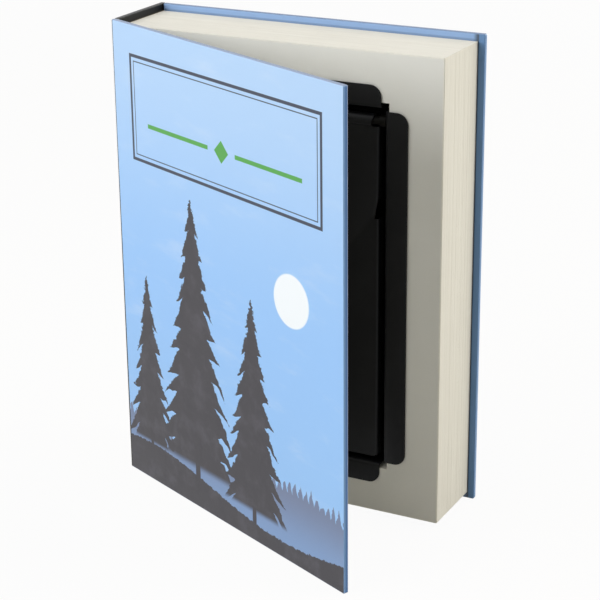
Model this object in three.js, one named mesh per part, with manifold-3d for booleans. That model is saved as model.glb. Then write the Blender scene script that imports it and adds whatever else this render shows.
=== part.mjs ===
// A book diversion safe: a hardback book whose pages are cut out for a folded sheet-steel
// cassette with a hinged, locking lid. Millimetres, +Z up, the front cover towards -Y and the
// spine towards -X. It stands on its lower edge, with the front cover part open and the lock
// turned to open. The origin is the middle of the back cover's lower edge.

import * as THREE from 'three';
import { mergeVertices } from 'three/addons/utils/BufferGeometryUtils.js';
import Module from 'manifold-3d';

const wasm = await Module();
wasm.setup();

// The book, over its covers

const book_height = 270;
const book_width = 200;
const book_thickness = 52;
const cover_opening = THREE.MathUtils.degToRad(24.5);

// The case: three panels of board wrapped in paper, folding on two creases

const board = 2.3;
const cover_paper = 0.2;
const inner_sheet = 0.15;
const glue_line = 0.1;
const turn_in = 15;
const inner_sheet_margin = 3.5;
const board_corner = 0.6;
const crease_gap = 0.3;

// The block of pages

const square = 4;
const spine_hollow = 0.35;
const block_lining = 0.25;
const endpaper = 0.15;
const cover_to_flange = 0.25;
const bonding_tape = 0.2;

// The cassette: a tray folded from one sheet, let into the pages

const sheet = 0.8;
const bend = 1;
const tray_width = 127.5;
const tray_height = 203;
const tray_depth = 33;
const end_flange = 12;
const side_flange = 13;
const flange_corner = 6.5;
const side_relief = 2.4;
const end_relief = 1.5;
const pocket_side_gap = 1.3;
const pocket_end_gap = 2.1;
const pocket_floor_gap = 0.3;
const tape_inset = 1;

// The lid, its rolled knuckle, and the pin with its two spacer bushes

const lid_side_gap = 4.5;
const lid_foot_gap = 2;
const lid_rim = 6;
const lid_recess = 2.6;
const pin_radius = 2.2;
const pin_neck_radius = 1.4;
const pin_head_radius = 2.2;
const pin_head = 0.7;
const running_gap = 0.3;
const knuckle_recess = 0.6;
const pin_to_tray_head = 7.5;
const knuckle_inset = 2.6;
const knuckle_slant = 1.9;
const roll_slit = 0.6;
const bush_wall = 0.6;
const bush_length = 3.6;
const lid_notch_length = 15;
const lid_notch_depth = 2.6;
const lid_notch_from_pin = 39;

// The cam lock

const seat_gap = 0.1;
const lock_from_foot = 22;
const lock_flange_radius = 11;
const lock_flange = 1.6;
const barrel_radius = 9;
const barrel_flat = 7.9;
const barrel_length = 15;
const plug_radius = 5.6;
const plug_head_radius = 6.6;
const plug_head = 1.2;
const plug_proud = 0.4;
const keyway_width = 1.6;
const keyway_height = 7;
const keyway_depth = 8;
const washer_radius = 12;
const washer = 0.9;
const nut_across_flats = 22;
const nut = 3.2;
const cam_length = 21.5;
const cam_width = 12;
const cam = 2;
const cam_tip_corner = 2;
const cam_square = 6;
const cam_screw_head_radius = 3.8;
const cam_screw_head = 2;
const cam_screw_radius = 1.6;
const cam_screw_length = 6;
const screw_slot = 0.8;

// The strike that the cam turns behind, and its rivets

const strike_length = 26;
const strike_foot = 9;
const strike_lip = 6.2;
const strike_sheet = 1.2;
const strike_bend = 0.8;
const strike_corner = 2;
const rivet_radius = 1.5;
const rivet_head_radius = 2.6;
const rivet_head = 0.9;
const rivet_spacing = 16;
const rivet_from_lip = 5.3;

// How finely round shapes are drawn, and how far a cutter runs past what it cuts

const bend_steps = 6;
const corner_steps = 6;
const round_steps = 32;
const overrun = 1;

// Solids

function solid(geometry) {
  const bare = geometry.clone();
  for (const name of Object.keys(bare.attributes)) {
    if (name !== 'position') bare.deleteAttribute(name);
  }
  const merged = mergeVertices(bare, 1e-4);
  const places = merged.attributes.position.array;
  const corner = (i) => new THREE.Vector3().fromArray(places, 3 * i);
  const faces = [];
  let volume = 0;
  for (let i = 0; i < merged.index.count; i += 3) {
    const [a, b, c] = merged.index.array.slice(i, i + 3);
    if (a === b || b === c || c === a) continue;
    faces.push([a, b, c]);
    volume += corner(a).dot(corner(b).cross(corner(c)));
  }
  const outward = volume > 0 ? faces : faces.map(([a, b, c]) => [a, c, b]);
  return new wasm.Manifold(new wasm.Mesh({
    numProp: 3,
    vertProperties: Float32Array.from(places),
    triVerts: Uint32Array.from(outward.flat()),
  }));
}

function geometry_of(manifold) {
  const mesh = manifold.getMesh();
  const geometry = new THREE.BufferGeometry();
  geometry.setAttribute('position', new THREE.BufferAttribute(Float32Array.from(mesh.vertProperties), 3));
  geometry.setIndex(new THREE.BufferAttribute(Uint32Array.from(mesh.triVerts), 1));
  return geometry;
}

function cut(body, ...tools) {
  return tools.reduce((left, tool) => left.subtract(tool), body);
}

function join(body, ...others) {
  return others.reduce((whole, other) => whole.add(other), body);
}

function box(low, high) {
  const size = high.map((value, i) => value - low[i]);
  const middle = high.map((value, i) => (value + low[i]) / 2);
  return solid(new THREE.BoxGeometry(...size).translate(...middle));
}

function drawn_out(outline, length) {
  return new THREE.ExtrudeGeometry(outline, {
    depth: length,
    bevelEnabled: false,
    curveSegments: corner_steps,
  });
}

// An outline drawn in Y and Z, drawn out along X

function along_x(outline, x0, x1) {
  const turn = new THREE.Matrix4().makeBasis(
    new THREE.Vector3(0, 1, 0),
    new THREE.Vector3(0, 0, 1),
    new THREE.Vector3(1, 0, 0),
  );
  return solid(drawn_out(outline, x1 - x0).applyMatrix4(turn).translate(x0, 0, 0));
}

// An outline drawn in X and Z, drawn out along Y

function along_y(outline, y0, y1) {
  return solid(drawn_out(outline, y1 - y0).rotateX(Math.PI / 2).translate(0, y1, 0));
}

// An outline drawn in X and Y, drawn out along Z

function along_z(outline, z0, z1) {
  return solid(drawn_out(outline, z1 - z0).translate(0, 0, z0));
}

// A turned piece: [radius, distance] pairs about a line through centre that runs along X, Y or Z

function turned(profile, direction, centre) {
  const points = profile.map(([radius, distance]) => new THREE.Vector2(radius, distance));
  const geometry = new THREE.LatheGeometry(points, round_steps);
  if (direction === 'x') geometry.rotateZ(-Math.PI / 2);
  if (direction === 'z') geometry.rotateX(Math.PI / 2);
  return solid(geometry.translate(...centre));
}

function rod(radius, from, to, direction, centre) {
  return turned([[0, from], [radius, from], [radius, to], [0, to]], direction, centre);
}

function ring(bore, radius, from, to, direction, centre) {
  const profile = [[bore, from], [radius, from], [radius, to], [bore, to], [bore, from]];
  return turned(profile, direction, centre);
}

// A rectangle whose four corners, from the low one round, have their own radii

function rectangle(x0, x1, z0, z1, [r_a, r_b, r_c, r_d] = [0, 0, 0, 0]) {
  const outline = new THREE.Shape();
  const quarter = Math.PI / 2;
  outline.moveTo(x0 + r_a, z0);
  outline.lineTo(x1 - r_b, z0);
  if (r_b) outline.absarc(x1 - r_b, z0 + r_b, r_b, -quarter, 0);
  outline.lineTo(x1, z1 - r_c);
  if (r_c) outline.absarc(x1 - r_c, z1 - r_c, r_c, 0, quarter);
  outline.lineTo(x0 + r_d, z1);
  if (r_d) outline.absarc(x0 + r_d, z1 - r_d, r_d, quarter, 2 * quarter);
  outline.lineTo(x0, z0 + r_a);
  if (r_a) outline.absarc(x0 + r_a, z0 + r_a, r_a, 2 * quarter, 3 * quarter);
  outline.closePath();
  return outline;
}

function polygon(points) {
  return new THREE.Shape(points.map(([a, b]) => new THREE.Vector2(a, b)));
}

// The section of a sheet folded along a line of points, with an arc at each fold

function folded(path, thickness, inside_radius) {
  const points = path.map(([a, b]) => new THREE.Vector2(a, b));
  const middle_radius = inside_radius + thickness / 2;
  const left = [];
  const right = [];
  const put = (place, direction) => {
    const side = new THREE.Vector2(-direction.y, direction.x).multiplyScalar(thickness / 2);
    left.push(place.clone().add(side));
    right.push(place.clone().sub(side));
  };
  points.forEach((point, i) => {
    const before = i > 0 ? point.clone().sub(points[i - 1]).normalize() : null;
    const after = i < points.length - 1 ? points[i + 1].clone().sub(point).normalize() : null;
    if (!before || !after) {
      put(point, before ?? after);
      return;
    }
    const turn = Math.atan2(before.cross(after), before.dot(after));
    const setback = middle_radius * Math.tan(Math.abs(turn) / 2);
    const start = point.clone().addScaledVector(before, -setback);
    const to_centre = new THREE.Vector2(-before.y, before.x);
    const centre = start.clone().addScaledVector(to_centre, Math.sign(turn) * middle_radius);
    for (let step = 0; step <= bend_steps; step += 1) {
      const angle = (turn * step) / bend_steps;
      const direction = before.clone().rotateAround(new THREE.Vector2(), angle);
      put(start.clone().rotateAround(centre, angle), direction);
    }
  });
  return new THREE.Shape([...left.reverse(), ...right]);
}

// Materials, and the pieces in the groups that carry them

const finishes = {
  grey_board: { color: 0x9a9488, roughness: 0.9, metalness: 0 },
  front_paper: { color: 0x9fcbf7, roughness: 0.35, metalness: 0 },
  back_paper: { color: 0x7fa9d6, roughness: 0.35, metalness: 0 },
  black_paper: { color: 0x262624, roughness: 0.5, metalness: 0 },
  endpaper: { color: 0xcfcdc4, roughness: 0.85, metalness: 0 },
  pages: { color: 0xe2ddcd, roughness: 0.9, metalness: 0 },
  lining_paper: { color: 0xb9a98a, roughness: 0.9, metalness: 0 },
  bonding_tape: { color: 0xe8e4d8, roughness: 0.8, metalness: 0 },
  black_steel: { color: 0x1b1b1d, roughness: 0.4, metalness: 0.3 },
  blackened_steel: { color: 0x20201d, roughness: 0.5, metalness: 0.8 },
  zinc: { color: 0xa8a07a, roughness: 0.4, metalness: 0.9 },
  chrome: { color: 0xc9ccd0, roughness: 0.2, metalness: 1 },
};

function piece(group, name, finish, manifold) {
  const material = new THREE.MeshStandardMaterial(finishes[finish]);
  material.name = finish;
  const mesh = new THREE.Mesh(geometry_of(manifold), material);
  mesh.name = name;
  group.add(mesh);
}

// Places worked out from the sizes: X from the spine's outer face, Y from the closed front
// cover's outer face, Z from the lower edge

const panel_edge = cover_paper + glue_line + board + glue_line + cover_paper;
const panel = panel_edge + glue_line + inner_sheet;
const spine_end = book_thickness - panel - crease_gap;
const back_start = panel + crease_gap;

const flange_face = panel + cover_to_flange;
const tape_face = flange_face + sheet + glue_line;
const tape_back = tape_face + bonding_tape;
const endpaper_face = tape_back + glue_line;
const endpaper_back = endpaper_face + endpaper;
const block_face = endpaper_back + glue_line;
const block_back = book_thickness - panel - glue_line;

const lining_start = panel + spine_hollow;
const block_spine = lining_start + block_lining + glue_line;
const block_fore = book_width - square;
const block_foot = square;
const block_head = book_height - square;

const tray_left = (block_spine + block_fore - tray_width) / 2;
const tray_right = tray_left + tray_width;
const tray_foot = (block_foot + block_head - tray_height) / 2;
const tray_head = tray_foot + tray_height;
const tray_floor = flange_face + tray_depth;

const pocket_left = tray_left - sheet - pocket_side_gap;
const pocket_right = tray_right + sheet + pocket_side_gap;
const pocket_foot = tray_foot - sheet - pocket_end_gap;
const pocket_head = tray_head + sheet + pocket_end_gap;
const pocket_floor = tray_floor + sheet + pocket_floor_gap;

const lid_left = tray_left + lid_side_gap;
const lid_right = tray_right - lid_side_gap;
const lid_foot = tray_foot + lid_foot_gap;
const lid_face = flange_face + lid_recess;
const lid_back = lid_face + sheet;

const roll_bore = pin_radius + running_gap;
const roll_radius = roll_bore + sheet;
const pin_y = flange_face + knuckle_recess + roll_radius;
const pin_z = tray_head - pin_to_tray_head;

const lock_x = (lid_left + lid_right) / 2;
const lock_z = lid_foot + lock_from_foot;
const lock_front = lid_face - seat_gap - lock_flange;
const barrel_end = lid_back + barrel_length;
const plug_end = barrel_end + seat_gap;
const cam_face = plug_end + seat_gap;
const cam_back = cam_face + cam;
const strike_back = cam_face - running_gap;
const rivet_y = strike_back - rivet_from_lip;
const rivet_xs = [lock_x - rivet_spacing / 2, lock_x + rivet_spacing / 2];

// The case. A panel's outer face is at 0 on its own Y, and its crease is at 0 on its own X.
// The back cover faces the other way, so its layers are stacked towards -Y. The paper runs on
// past the board as far as the crease on one side of each crease, and closes it.

function layer(outline, near, far, inward) {
  return inward > 0 ? along_y(outline, near, far) : along_y(outline, -far, -near);
}

function add_panel(group, inward, [start, end], fore_corner, crease_paper, names, looks, margin) {
  const wrap = cover_paper + glue_line;
  const fore_wrap = fore_corner ? wrap : 0;
  const round = (radius) => (fore_corner ? [0, radius, radius, 0] : [0, 0, 0, 0]);

  const board_outline = rectangle(start, end - fore_wrap, wrap, book_height - wrap, round(fore_corner));
  piece(group, names.board, 'grey_board', layer(board_outline, wrap, wrap + board, inward));

  const whole = rectangle(start, end, 0, book_height, round(fore_corner + wrap));
  const room = rectangle(
    start - overrun,
    fore_corner ? end - cover_paper : end + overrun,
    cover_paper,
    book_height - cover_paper,
    round(fore_corner + glue_line),
  );
  const window_end = fore_corner ? end - turn_in : end + overrun;
  const window = rectangle(start - overrun, window_end, turn_in, book_height - turn_in);
  const wrapped = cut(
    layer(whole, 0, panel_edge, inward),
    layer(room, cover_paper, panel_edge - cover_paper, inward),
    layer(window, panel_edge / 2, panel_edge + overrun, inward),
  );
  const lips = crease_paper.map(([from, to]) => (
    layer(rectangle(from, to, 0, book_height), 0, cover_paper, inward)
  ));
  piece(group, names.paper, looks.paper, join(wrapped, ...lips));

  const inner_outline = rectangle(
    start + margin.crease, end - margin.fore, margin.ends, book_height - margin.ends,
  );
  piece(group, names.inner, looks.inner, layer(inner_outline, panel - inner_sheet, panel, inward));
}

const front_cover = new THREE.Group();
add_panel(
  front_cover, 1, [crease_gap, book_width], board_corner, [],
  { board: 'front_board', paper: 'front_cover_paper', inner: 'front_inner_sheet' },
  { paper: 'front_paper', inner: 'endpaper' },
  { crease: inner_sheet_margin, fore: inner_sheet_margin, ends: inner_sheet_margin },
);
front_cover.rotation.z = -cover_opening;

const spine = new THREE.Group();
add_panel(
  spine, 1, [crease_gap, spine_end], 0, [[spine_end - turn_in, book_thickness]],
  { board: 'spine_board', paper: 'spine_paper', inner: 'spine_lining' },
  { paper: 'black_paper', inner: 'black_paper' },
  { crease: crease_gap, fore: crease_gap, ends: inner_sheet_margin },
);
spine.rotation.z = -Math.PI / 2;
spine.position.set(0, book_thickness, 0);

const back_cover = new THREE.Group();
const under_block = square + inner_sheet_margin;
add_panel(
  back_cover, -1, [back_start, book_width], board_corner, [[0, back_start + turn_in]],
  { board: 'back_board', paper: 'back_cover_paper', inner: 'back_inner_sheet' },
  { paper: 'back_paper', inner: 'endpaper' },
  { crease: under_block, fore: under_block, ends: under_block },
);
back_cover.position.set(0, book_thickness, 0);

// The page block: the cut pages, the uncut ones behind them, the endpaper on the face and the
// lining on the glued back

const block = new THREE.Group();
const page = rectangle(block_spine, block_fore, block_foot, block_head);
const pocket = rectangle(pocket_left, pocket_right, pocket_foot, pocket_head);

function cut_leaf(y0, y1) {
  return cut(along_y(page, y0, y1), along_y(pocket, y0 - overrun, y1 + overrun));
}

piece(block, 'front_endpaper', 'endpaper', cut_leaf(endpaper_face, endpaper_back));
piece(block, 'cut_pages', 'pages', cut_leaf(block_face, pocket_floor));
piece(block, 'uncut_pages', 'pages', along_y(page, pocket_floor + glue_line, block_back));
piece(block, 'block_lining', 'lining_paper', box(
  [lining_start, block_face, block_foot],
  [lining_start + block_lining, block_back, block_head],
));

// The tray. Two folded sections cross on the floor: one gives the head and foot walls with
// their flanges, the other the side walls with theirs. They stop short of each other, which
// leaves the corners open, and each flange has its outer corners rounded.

const cassette = new THREE.Group();

function hat_section(low, high, flange) {
  const face = flange_face + sheet / 2;
  const floor = tray_floor + sheet / 2;
  return [
    [low - flange, face],
    [low - sheet / 2, face],
    [low - sheet / 2, floor],
    [high + sheet / 2, floor],
    [high + sheet / 2, face],
    [high + flange, face],
  ];
}

function hole_along_z(radius, x, y, z) {
  return rod(radius, -strike_foot, strike_foot, 'z', [x, y, z]);
}

const flange_corners = [flange_corner, flange_corner, flange_corner, flange_corner];
const through_tray = [flange_face - overrun, tray_floor + sheet + overrun];
const ends_section = hat_section(tray_foot, tray_head, end_flange).map(([z, y]) => [y, z]);
const ends_outline = rectangle(
  tray_left + side_relief, tray_right - side_relief,
  tray_foot - end_flange, tray_head + end_flange, flange_corners,
);
const sides_outline = rectangle(
  tray_left - side_flange, tray_right + side_flange,
  tray_foot + end_relief, tray_head - end_relief, flange_corners,
);
const ends = along_x(folded(ends_section, sheet, bend), tray_left, tray_right)
  .intersect(along_y(ends_outline, ...through_tray));
const sides = along_z(folded(hat_section(tray_left, tray_right, side_flange), sheet, bend), tray_foot, tray_head)
  .intersect(along_y(sides_outline, ...through_tray));
const pin_holes = rod(
  pin_neck_radius + running_gap, tray_left - side_flange, tray_right + side_flange, 'x', [0, pin_y, pin_z],
);
const rivet_holes = rivet_xs.map((x) => hole_along_z(rivet_radius + running_gap, x, rivet_y, tray_foot));
piece(cassette, 'tray', 'black_steel', cut(join(ends, sides), pin_holes, ...rivet_holes));

// Bonding tape under each flange, from the edge of the pages' window to near the flange's edge

const tape_from_side = sheet + pocket_side_gap;
const tape_from_end = sheet + pocket_end_gap;
const end_tape_xs = [tray_left + side_relief + flange_corner, tray_right - side_relief - flange_corner];
const side_tape_zs = [tray_foot + end_relief + flange_corner, tray_head - end_relief - flange_corner];

function tape(name, [x0, x1], [z0, z1]) {
  piece(cassette, name, 'bonding_tape', box([x0, tape_face, z0], [x1, tape_back, z1]));
}

tape('head_tape', end_tape_xs, [tray_head + tape_from_end, tray_head + end_flange - tape_inset]);
tape('foot_tape', end_tape_xs, [tray_foot - end_flange + tape_inset, tray_foot - tape_from_end]);
tape('fore_tape', [tray_right + tape_from_side, tray_right + side_flange - tape_inset], side_tape_zs);
tape('spine_tape', [tray_left - side_flange + tape_inset, tray_left - tape_from_side], side_tape_zs);

// The strike, an angle riveted to the foot wall, whose lip the cam turns behind

const strike_z = tray_foot + seat_gap;
const strike_section = folded([
  [strike_back - strike_foot, strike_z + strike_sheet / 2],
  [strike_back - strike_sheet / 2, strike_z + strike_sheet / 2],
  [strike_back - strike_sheet / 2, strike_z + strike_lip],
], strike_sheet, strike_bend);
const strike_xs = [lock_x - strike_length / 2, lock_x + strike_length / 2];
const strike_outline = rectangle(
  ...strike_xs, strike_z - overrun, strike_z + strike_lip, [0, 0, strike_corner, strike_corner],
);
const strike_angle = along_x(strike_section, ...strike_xs)
  .intersect(along_y(strike_outline, strike_back - strike_foot - overrun, strike_back + overrun));
piece(cassette, 'strike', 'black_steel', cut(strike_angle, ...rivet_holes));

// A rivet, shown closed: a domed head on the strike and a flat one under the wall

function rivet(x) {
  const top = strike_z + strike_sheet + seat_gap;
  const under = tray_foot - sheet - seat_gap;
  return turned([
    [0, under - rivet_head],
    [rivet_head_radius, under - rivet_head],
    [rivet_head_radius, under],
    [rivet_radius, under],
    [rivet_radius, top],
    [rivet_head_radius, top],
    [rivet_head_radius * Math.cos(Math.PI / 6), top + rivet_head / 2],
    [rivet_head_radius / 2, top + rivet_head],
    [0, top + rivet_head],
  ].reverse(), 'z', [x, rivet_y, 0]);
}

['strike_rivet_left', 'strike_rivet_right'].forEach((name, i) => {
  piece(cassette, name, 'zinc', rivet(rivet_xs[i]));
});

// The hinge pin, whose necks pass through the side walls and are staked over outside them, and
// a spacer bush inside each wall

const pin_left = tray_left - sheet - seat_gap;
const pin_right = tray_right + sheet + seat_gap;
piece(cassette, 'hinge_pin', 'blackened_steel', turned([
  [0, pin_left - pin_head],
  [pin_head_radius, pin_left - pin_head],
  [pin_head_radius, pin_left],
  [pin_neck_radius, pin_left],
  [pin_neck_radius, tray_left + seat_gap],
  [pin_radius, tray_left + seat_gap],
  [pin_radius, tray_right - seat_gap],
  [pin_neck_radius, tray_right - seat_gap],
  [pin_neck_radius, pin_right],
  [pin_head_radius, pin_right],
  [pin_head_radius, pin_right + pin_head],
  [0, pin_right + pin_head],
], 'x', [0, pin_y, pin_z]));

function bush(from, to) {
  return ring(roll_bore, roll_bore + bush_wall, from, to, 'x', [0, pin_y, pin_z]);
}

const left_bush = tray_left + running_gap;
const right_bush = tray_right - running_gap - bush_length;
piece(cassette, 'hinge_bush_left', 'blackened_steel', bush(left_bush, left_bush + bush_length));
piece(cassette, 'hinge_bush_right', 'blackened_steel', bush(right_bush, right_bush + bush_length));

// The lid: a shallow folded pan with three rims, whose head edge is rolled round the pin

const lid = new THREE.Group();
const rim_end = lid_face + lid_rim;
const pan_head = pin_z - roll_radius;
const pan_relief = sheet + bend;
const face_middle = lid_face + sheet / 2;
const pan_sides = along_z(folded([
  [lid_left + sheet / 2, rim_end],
  [lid_left + sheet / 2, face_middle],
  [lid_right - sheet / 2, face_middle],
  [lid_right - sheet / 2, rim_end],
], sheet, bend), lid_foot + pan_relief, pan_head);
const pan_foot = along_x(folded([
  [rim_end, lid_foot + sheet / 2],
  [face_middle, lid_foot + sheet / 2],
  [face_middle, pan_head],
], sheet, bend), lid_left + pan_relief, lid_right - pan_relief);

const roll_left = lid_left + knuckle_inset;
const roll_right = lid_right - knuckle_inset;
const neck = box([roll_left, lid_face, pan_head - overrun], [roll_right, lid_back, pin_z - roll_bore]);
const roll = ring(roll_bore, roll_radius, roll_left, roll_right, 'x', [0, pin_y, pin_z]);
const slit = box(
  [roll_left - overrun, lid_face - roll_slit, pan_head - overrun],
  [roll_right + overrun, lid_face, pin_z - roll_bore / 2],
);

function slanted_end(x, outward) {
  const beyond = x + outward * (knuckle_slant + overrun);
  return along_y(polygon([
    [x, pin_z + roll_radius],
    [x, pin_z + roll_radius + overrun],
    [beyond, pin_z + roll_radius + overrun],
    [beyond, pan_head],
    [x - outward * knuckle_slant, pan_head],
  ]), flange_face - overrun, pin_y + roll_radius + overrun);
}

const notch_head = pin_z - lid_notch_from_pin;
const lid_notch = along_y(polygon([
  [lid_right, notch_head],
  [lid_right - lid_notch_depth, notch_head - lid_notch_length],
  [lid_right + overrun, notch_head - lid_notch_length],
  [lid_right + overrun, notch_head],
]), lid_face - overrun, rim_end + overrun);

// A circle with two flats, which keep the barrel from turning in the lid

function flatted(radius, flat, y0, y1) {
  const circle = rod(radius, y0, y1, 'y', [lock_x, 0, lock_z]);
  const between = box([lock_x - flat, y0 - overrun, lock_z - radius], [lock_x + flat, y1 + overrun, lock_z + radius]);
  return circle.intersect(between);
}

const lock_hole = flatted(
  barrel_radius + running_gap, barrel_flat + running_gap, lid_face - overrun, lid_back + overrun,
);
piece(lid, 'lid', 'black_steel', cut(
  join(pan_sides, pan_foot, neck, roll),
  slit,
  slanted_end(roll_left, -1),
  slanted_end(roll_right, 1),
  lid_notch,
  lock_hole,
));

// The lock's barrel with its washer and nut, which clamp the lid between them

const lock_axis = [lock_x, 0, lock_z];
const plug_bore = plug_radius + running_gap;
const counterbore = plug_head_radius + running_gap;
const barrel = join(
  rod(lock_flange_radius, lock_front, lid_face - seat_gap, 'y', lock_axis),
  flatted(barrel_radius, barrel_flat, lid_face - seat_gap, barrel_end),
);
piece(lid, 'lock_barrel', 'chrome', cut(
  barrel,
  rod(plug_bore, lock_front - overrun, barrel_end + overrun, 'y', lock_axis),
  rod(counterbore, lock_front - overrun, lock_front + plug_head + running_gap, 'y', lock_axis),
));

const washer_face = lid_back + seat_gap;
const nut_face = washer_face + washer + seat_gap;
piece(lid, 'lock_washer', 'zinc', ring(
  barrel_radius + running_gap, washer_radius, washer_face, washer_face + washer, 'y', lock_axis,
));

function hexagon(across_flats) {
  const radius = across_flats / Math.sqrt(3);
  const corners = [0, 1, 2, 3, 4, 5].map((i) => (i * Math.PI) / 3);
  return polygon(corners.map((angle) => [lock_x + radius * Math.cos(angle), lock_z + radius * Math.sin(angle)]));
}

piece(lid, 'lock_nut', 'zinc', cut(
  along_y(hexagon(nut_across_flats), nut_face, nut_face + nut),
  rod(barrel_radius + running_gap, nut_face - overrun, nut_face + nut + overrun, 'y', lock_axis),
));

// The plug that the key turns, with the cam screwed to its square end

const lock_core = new THREE.Group();
const plug_front = lock_front - plug_proud;
const screw_face = cam_back + seat_gap;
const tang = cam_square / 2;
const plug = join(
  rod(plug_head_radius, plug_front, lock_front + plug_head, 'y', lock_axis),
  rod(plug_radius, lock_front, plug_end, 'y', lock_axis),
  box([lock_x - tang, plug_end - overrun, lock_z - tang], [lock_x + tang, cam_back, lock_z + tang]),
);
piece(lock_core, 'lock_plug', 'chrome', cut(
  plug,
  box(
    [lock_x - keyway_height / 2, plug_front - overrun, lock_z - keyway_width / 2],
    [lock_x + keyway_height / 2, plug_front + keyway_depth, lock_z + keyway_width / 2],
  ),
  rod(cam_screw_radius + seat_gap, screw_face - cam_screw_length - overrun, cam_back + overrun, 'y', lock_axis),
));

const half_cam = cam_width / 2;
const cam_outline = rectangle(
  lock_x - half_cam, lock_x + cam_length, lock_z - half_cam, lock_z + half_cam,
  [half_cam, cam_tip_corner, cam_tip_corner, half_cam],
);
const cam_hole = tang + seat_gap;
piece(lock_core, 'lock_cam', 'zinc', cut(
  along_y(cam_outline, cam_face, cam_back),
  box(
    [lock_x - cam_hole, cam_face - overrun, lock_z - cam_hole],
    [lock_x + cam_hole, cam_back + overrun, lock_z + cam_hole],
  ),
));

const screw_back = screw_face + cam_screw_head;
piece(lock_core, 'cam_screw', 'zinc', cut(
  join(
    rod(cam_screw_head_radius, screw_face, screw_back, 'y', lock_axis),
    rod(cam_screw_radius, screw_face - cam_screw_length, screw_face + cam_screw_head / 2, 'y', lock_axis),
  ),
  box(
    [lock_x - cam_screw_head_radius, screw_back - cam_screw_head / 2, lock_z - screw_slot / 2],
    [lock_x + cam_screw_head_radius, screw_back + overrun, lock_z + screw_slot / 2],
  ),
));

const book = new THREE.Group();
book.add(front_cover, spine, back_cover, block, cassette, lid, lock_core);
book.position.set(-(back_start + book_width) / 2, panel_edge / 2 - book_thickness, 0);

export default book;
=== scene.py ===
import math

import bmesh
import bpy
from mathutils import Matrix, Vector, noise


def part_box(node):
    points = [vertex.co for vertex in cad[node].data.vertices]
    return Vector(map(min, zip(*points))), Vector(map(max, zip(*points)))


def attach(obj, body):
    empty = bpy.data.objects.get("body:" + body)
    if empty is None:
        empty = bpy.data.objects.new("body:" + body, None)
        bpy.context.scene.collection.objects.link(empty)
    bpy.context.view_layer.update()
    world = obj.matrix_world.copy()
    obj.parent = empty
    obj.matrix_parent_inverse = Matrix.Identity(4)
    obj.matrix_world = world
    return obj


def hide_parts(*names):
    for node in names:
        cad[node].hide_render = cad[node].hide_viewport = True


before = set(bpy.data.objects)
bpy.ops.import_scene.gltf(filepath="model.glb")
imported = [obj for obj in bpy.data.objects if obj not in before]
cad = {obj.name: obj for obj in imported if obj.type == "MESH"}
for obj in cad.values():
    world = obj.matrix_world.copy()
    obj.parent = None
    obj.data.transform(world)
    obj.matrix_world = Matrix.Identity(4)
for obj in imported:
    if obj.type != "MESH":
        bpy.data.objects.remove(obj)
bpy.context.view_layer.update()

# The camera stands to the right of the open front cover and above it, a little over a metre
# away, with a short telephoto lens. It sees the book's head, its pages and the cassette's edge.

mm = 0.001
camera_azimuth = math.radians(27.587)
camera_elevation = math.radians(20.335)
camera_roll = math.radians(-0.593)
camera_place = Vector((456.033, -898.641, 478.996)) * mm
camera_lens = 111.663
camera_reach = 20.0

camera_data = bpy.data.cameras.new("camera")
camera_data.lens = camera_lens
camera_data.clip_end = camera_reach
camera = bpy.data.objects.new("camera", camera_data)
bpy.context.scene.collection.objects.link(camera)
bpy.context.scene.camera = camera

away = Vector((
    math.sin(camera_azimuth) * math.cos(camera_elevation),
    -math.cos(camera_azimuth) * math.cos(camera_elevation),
    math.sin(camera_elevation),
))
level_right = Vector((math.cos(camera_azimuth), math.sin(camera_azimuth), 0))
level_up = away.cross(level_right)
tilted_right = level_right * math.cos(camera_roll) + level_up * math.sin(camera_roll)
tilted_up = level_up * math.cos(camera_roll) - level_right * math.sin(camera_roll)
camera.matrix_world = Matrix.Translation(camera_place) @ Matrix((
    (tilted_right.x, tilted_up.x, away.x, 0),
    (tilted_right.y, tilted_up.y, away.y, 0),
    (tilted_right.z, tilted_up.z, away.z, 0),
    (0, 0, 0, 1),
))

# The three boards of the case are grey bookbinding board, cut square and glued inside the cover
# paper. Only their cut ends at the creases can be seen, and those only when the case is open.


def add_node(tree, kind, inputs=None, **settings):
    """A node with its settings. Each input is a plain value, or another node's output."""
    made = tree.nodes.new(kind)
    for setting, value in settings.items():
        setattr(made, setting, value)
    for socket, value in (inputs or {}).items():
        if isinstance(value, bpy.types.NodeSocket):
            tree.links.new(value, made.inputs[socket])
        else:
            made.inputs[socket].default_value = value
    return made


def calc(tree, operation, *values, clamp=False):
    made = add_node(tree, "ShaderNodeMath", dict(enumerate(values)), operation=operation, use_clamp=clamp)
    return made.outputs[0]


def step(tree, value, low, high, start=0.0, end=1.0):
    """A smooth step: start below low, end above high."""
    made = add_node(tree, "ShaderNodeMapRange", {
        "Value": value, "From Min": low, "From Max": high, "To Min": start, "To Max": end,
    }, interpolation_type="SMOOTHSTEP")
    return made.outputs["Result"]


def mix(tree, share, first, second):
    """The first colour where the share is 0, the second where it is 1."""
    made = add_node(tree, "ShaderNodeMix", {0: share, 6: first, 7: second}, data_type="RGBA")
    return made.outputs[2]


def colour(red, green, blue):
    """A colour given as it looks on a screen, 0 to 255."""
    shares = [value / 255 for value in (red, green, blue)]
    return tuple(s / 12.92 if s <= 0.04045 else ((s + 0.055) / 1.055) ** 2.4 for s in shares) + (1.0,)


def noise_texture(tree, place, scale, detail=2.0, roughness=0.5):
    made = add_node(tree, "ShaderNodeTexNoise", {
        "Vector": place, "Scale": scale, "Detail": detail, "Roughness": roughness,
    })
    return made.outputs[0]


def object_place(tree):
    return add_node(tree, "ShaderNodeTexCoord").outputs["Object"]


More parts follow.
